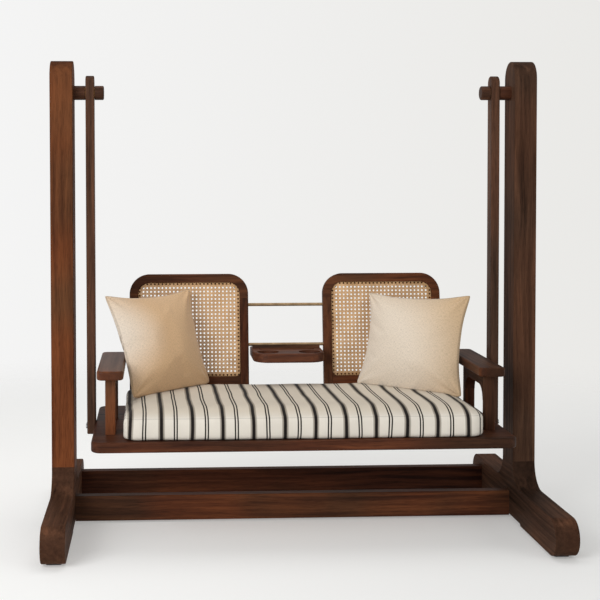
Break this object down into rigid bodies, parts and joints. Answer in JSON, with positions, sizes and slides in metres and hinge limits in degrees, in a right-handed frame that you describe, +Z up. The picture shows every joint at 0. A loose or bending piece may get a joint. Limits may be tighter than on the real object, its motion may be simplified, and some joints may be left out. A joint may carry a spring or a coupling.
{
  "type": "jhoola swing",
  "caption": "Free-standing timber swing bench with cane backs, tray, striped cushion and pillows, hung by flat bars from pegs on inverted-T side frames.",
  "frame": {"origin": "on the floor at the middle of the rectangle that the feet stand in", "axes": "+Z up, +X along the bench towards the sitter's left-hand arm, -Y the side that a sitter faces"},
  "size_m": [1.994, 1.1868, 1.905],
  "materials": {
    "walnut": "dark walnut-stained solid timber, satin oil and lacquer",
    "slat_wood": "plain planed timber slats and cleats, thin stain",
    "cane": "natural rattan cane, hand woven",
    "brass": "aged brushed brass",
    "bronze_bush": "oil-filled bronze",
    "steel": "zinc-plated steel",
    "glide": "black nylon",
    "striped_canvas": "cream cotton canvas with woven charcoal stripes",
    "tan_linen": "tan linen weave",
    "beige_linen": "beige linen weave"
  },
  "bodies": {
    "stand": {"foot_glides": "glide", "front_stretcher": "walnut", "left_axle": "steel", "left_foot": "walnut", "left_peg_cap": "walnut", "left_peg_collar": "walnut", "left_post": "walnut", "rear_stretcher": "walnut", "right_axle": "steel", "right_foot": "walnut", "right_peg_cap": "walnut", "right_peg_collar": "walnut", "right_post": "walnut", "stretcher_barrel_nuts": "steel", "stretcher_bolts": "steel"},
    "bench": {"armrest_screws": "steel", "hanger_barrel_nuts": "steel", "hanger_bolts": "steel", "left_arm_front_leg": "walnut", "left_arm_rail": "walnut", "left_arm_rear_leg": "walnut", "left_armrest": "walnut", "left_back_bottom_rail": "walnut", "left_back_cane": "cane", "left_back_crest": "walnut", "left_back_inner_stile": "walnut", "left_back_outer_stile": "walnut", "left_hanger": "walnut", "left_hanger_bushes": "bronze_bush", "left_pillow": "tan_linen", "left_seat_end_board": "walnut", "lower_tie_rod": "brass", "right_arm_front_leg": "walnut", "right_arm_rail": "walnut", "right_arm_rear_leg": "walnut", "right_armrest": "walnut", "right_back_bottom_rail": "walnut", "right_back_cane": "cane", "right_back_crest": "walnut", "right_back_inner_stile": "walnut", "right_back_outer_stile": "walnut", "right_hanger": "walnut", "right_hanger_bushes": "bronze_bush", "right_pillow": "beige_linen", "right_seat_end_board": "walnut", "seat_cushion": "striped_canvas", "seat_front_cleat": "slat_wood", "seat_front_rail": "walnut", "seat_middle_rail": "slat_wood", "seat_rear_cleat": "slat_wood", "seat_rear_rail": "walnut", "seat_slats": "slat_wood", "tray": "walnut", "tray_saddle": "walnut", "tray_screws": "steel", "upper_tie_rod": "brass"}
  },
  "joints": [
    {"name": "swing", "type": "hinge", "parent": "stand", "child": "bench", "pos_m": [0, 0.0285, 1.775], "axis": [1, 0, 0], "range_deg": [-30, 30]}
  ]
}
